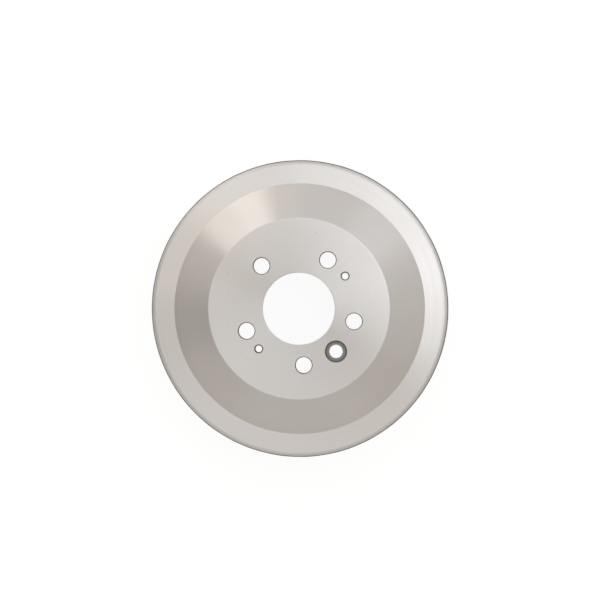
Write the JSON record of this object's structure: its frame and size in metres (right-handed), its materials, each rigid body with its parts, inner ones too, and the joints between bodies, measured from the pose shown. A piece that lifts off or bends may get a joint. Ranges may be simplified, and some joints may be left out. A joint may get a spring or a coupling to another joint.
{
  "type": "brake drum",
  "caption": "Rear brake drum turned from one iron casting, with a flat wheel seat, a sloping cone, a wide shoulder and a deep friction wall.",
  "frame": {"origin": "centre of the bore, in the plane of the inner face that is clamped to the axle flange", "axes": "+Z along the spin axis towards the wheel, +X through the centre of the first wheel bolt hole, and the open rim at -Z, which the drum rests on"},
  "size_m": [0.3233, 0.3232, 0.1005],
  "materials": {
    "turned_cast_iron": "fine turned"
  },
  "bodies": {
    "root": {"brake_drum": "turned_cast_iron"}
  },
  "joints": []
}
